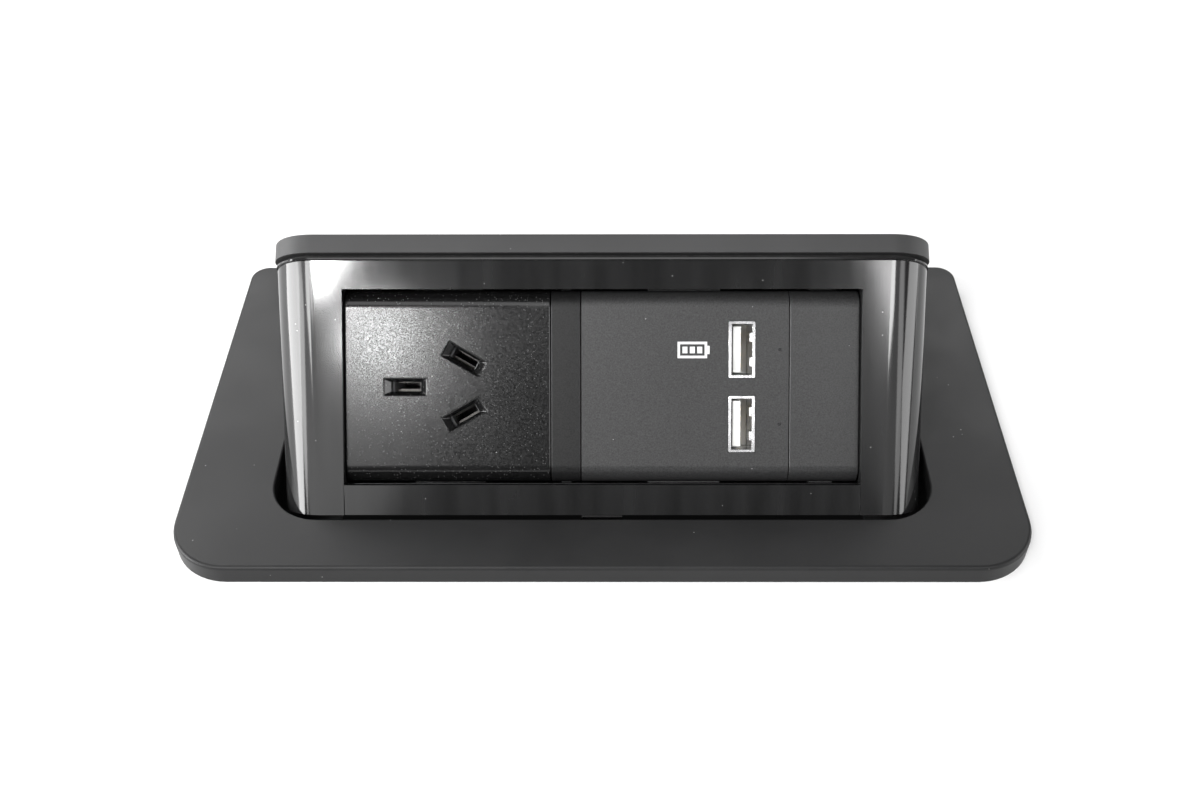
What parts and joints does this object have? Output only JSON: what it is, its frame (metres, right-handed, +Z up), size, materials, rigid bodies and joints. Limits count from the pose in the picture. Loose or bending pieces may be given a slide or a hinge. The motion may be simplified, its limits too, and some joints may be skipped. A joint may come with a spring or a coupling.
{
  "type": "pop up desk socket",
  "caption": "Sunk desk box whose lid tips up on a rear hinge to show a flat-pin power socket and two charging ports in a raised front.",
  "frame": {"origin": "centre of the plate's underside, which is the plane of the desk top", "axes": "+X to the right seen from the front, +Y towards the hinge at the back, +Z up out of the desk"},
  "size_m": [0.2328, 0.1132, 0.1394],
  "materials": {
    "plate_plastic": "satin moulded black plastic with a fine even grain",
    "lid_plastic": "satin moulded black plastic",
    "frame_gloss": "glossy black moulding",
    "module_matte": "finely speckled matte black plastic",
    "dark_rubber": "matte black rubber",
    "housing_plastic": "matte black plastic",
    "inner_plastic": "grey moulded plastic",
    "tongue_plastic": "white moulded plastic",
    "clear_plastic": "dark clear plastic",
    "bright_steel": "bright plated steel",
    "zinc_steel": "zinc plated steel",
    "brass": "brushed brass",
    "gold_contact": "gold plated contact",
    "board_green": "green circuit board",
    "coil_tape": "yellow tape over a wound core",
    "can_metal": "sleeved metal can"
  },
  "bodies": {
    "root": {"desk_plate": "plate_plastic", "housing": "housing_plastic", "housing_screws": "zinc_steel", "hinge_pin_left": "zinc_steel", "hinge_pin_right": "zinc_steel", "hinge_clips": "zinc_steel", "torsion_spring": "bright_steel", "damper_body": "inner_plastic", "damper_screws": "zinc_steel", "latch_body": "inner_plastic", "latch_spring": "bright_steel", "latch_bracket": "zinc_steel", "latch_bracket_screws": "zinc_steel"},
    "cassette": {"lid": "lid_plastic", "lid_gasket": "dark_rubber", "lid_screws": "zinc_steel", "cassette_shell": "frame_gloss", "lower_trim": "frame_gloss", "rear_cover": "housing_plastic", "rear_cover_screws": "zinc_steel", "cable_gland": "housing_plastic", "gland_nut": "housing_plastic", "mounting_frame": "zinc_steel", "mounting_frame_screws": "zinc_steel", "socket_face": "module_matte", "socket_base": "inner_plastic", "active_contact": "brass", "neutral_contact": "brass", "earth_contact": "brass", "terminal_screws": "zinc_steel", "spacer_strip": "module_matte", "blank_plate": "module_matte", "usb_face": "module_matte", "usb_case": "inner_plastic", "usb_board": "board_green", "usb_transformer": "coil_tape", "usb_capacitors": "can_metal", "usb_light_pipes": "clear_plastic", "usb_shell_upper": "bright_steel", "usb_shell_lower": "bright_steel", "usb_tongue_upper": "tongue_plastic", "usb_tongue_lower": "tongue_plastic", "usb_contacts_upper": "gold_contact", "usb_contacts_lower": "gold_contact", "hinge_bushes": "inner_plastic", "gear_sector": "inner_plastic", "sector_screws": "zinc_steel", "latch_strike": "inner_plastic"},
    "latch_plunger": {"latch_plunger": "tongue_plastic"},
    "damper_pinion": {"damper_pinion": "tongue_plastic"},
    "clamp_claw_left": {"clamp_claw_left": "zinc_steel", "clamp_pad_left": "dark_rubber"},
    "clamp_claw_right": {"clamp_claw_right": "zinc_steel", "clamp_pad_right": "dark_rubber"},
    "clamp_bolt_left": {"clamp_bolt_left": "zinc_steel"},
    "clamp_bolt_right": {"clamp_bolt_right": "zinc_steel"}
  },
  "joints": [
    {"name": "cassette_tilt", "type": "hinge", "parent": "root", "child": "cassette", "pos_m": [0, 0.03128, -0.0127], "axis": [1, 0, 0], "range_deg": [0, 55], "stiffness_Nm_per_rad": 0.16, "springref_deg": -114.59, "deforming": ["torsion_spring"]},
    {"name": "damper_spin", "type": "hinge", "parent": "root", "child": "damper_pinion", "pos_m": [0, 0.02053, -0.04071], "axis": [1, 0, 0], "range_deg": [-220, 0]},
    {"name": "latch_press", "type": "slide", "parent": "root", "child": "latch_plunger", "axis": [0, 0, 1], "range_m": [-0.004, 0], "stiffness_N_per_m": 400, "springref_m": 0.002, "deforming": ["latch_spring"]},
    {"name": "clamp_slide_left", "type": "slide", "parent": "root", "child": "clamp_claw_left", "axis": [0, 0, 1], "range_m": [-0.015, 0.009]},
    {"name": "clamp_turn_left", "type": "hinge", "parent": "clamp_claw_left", "child": "clamp_bolt_left", "pos_m": [-0.094, -0.012, -0.06], "axis": [0, 0, 1], "range_deg": [-6760, 4060]},
    {"name": "clamp_slide_right", "type": "slide", "parent": "root", "child": "clamp_claw_right", "axis": [0, 0, 1], "range_m": [-0.015, 0.009]},
    {"name": "clamp_turn_right", "type": "hinge", "parent": "clamp_claw_right", "child": "clamp_bolt_right", "pos_m": [0.094, -0.012, -0.06], "axis": [0, 0, 1], "range_deg": [-6760, 4060]}
  ],
  "couplings": [
    {"joint": "damper_spin", "follows": "cassette_tilt", "ratio": -4},
    {"joint": "clamp_turn_left", "follows": "clamp_slide_left", "rad_per_m": 7854},
    {"joint": "clamp_turn_right", "follows": "clamp_slide_right", "rad_per_m": 7854}
  ]
}
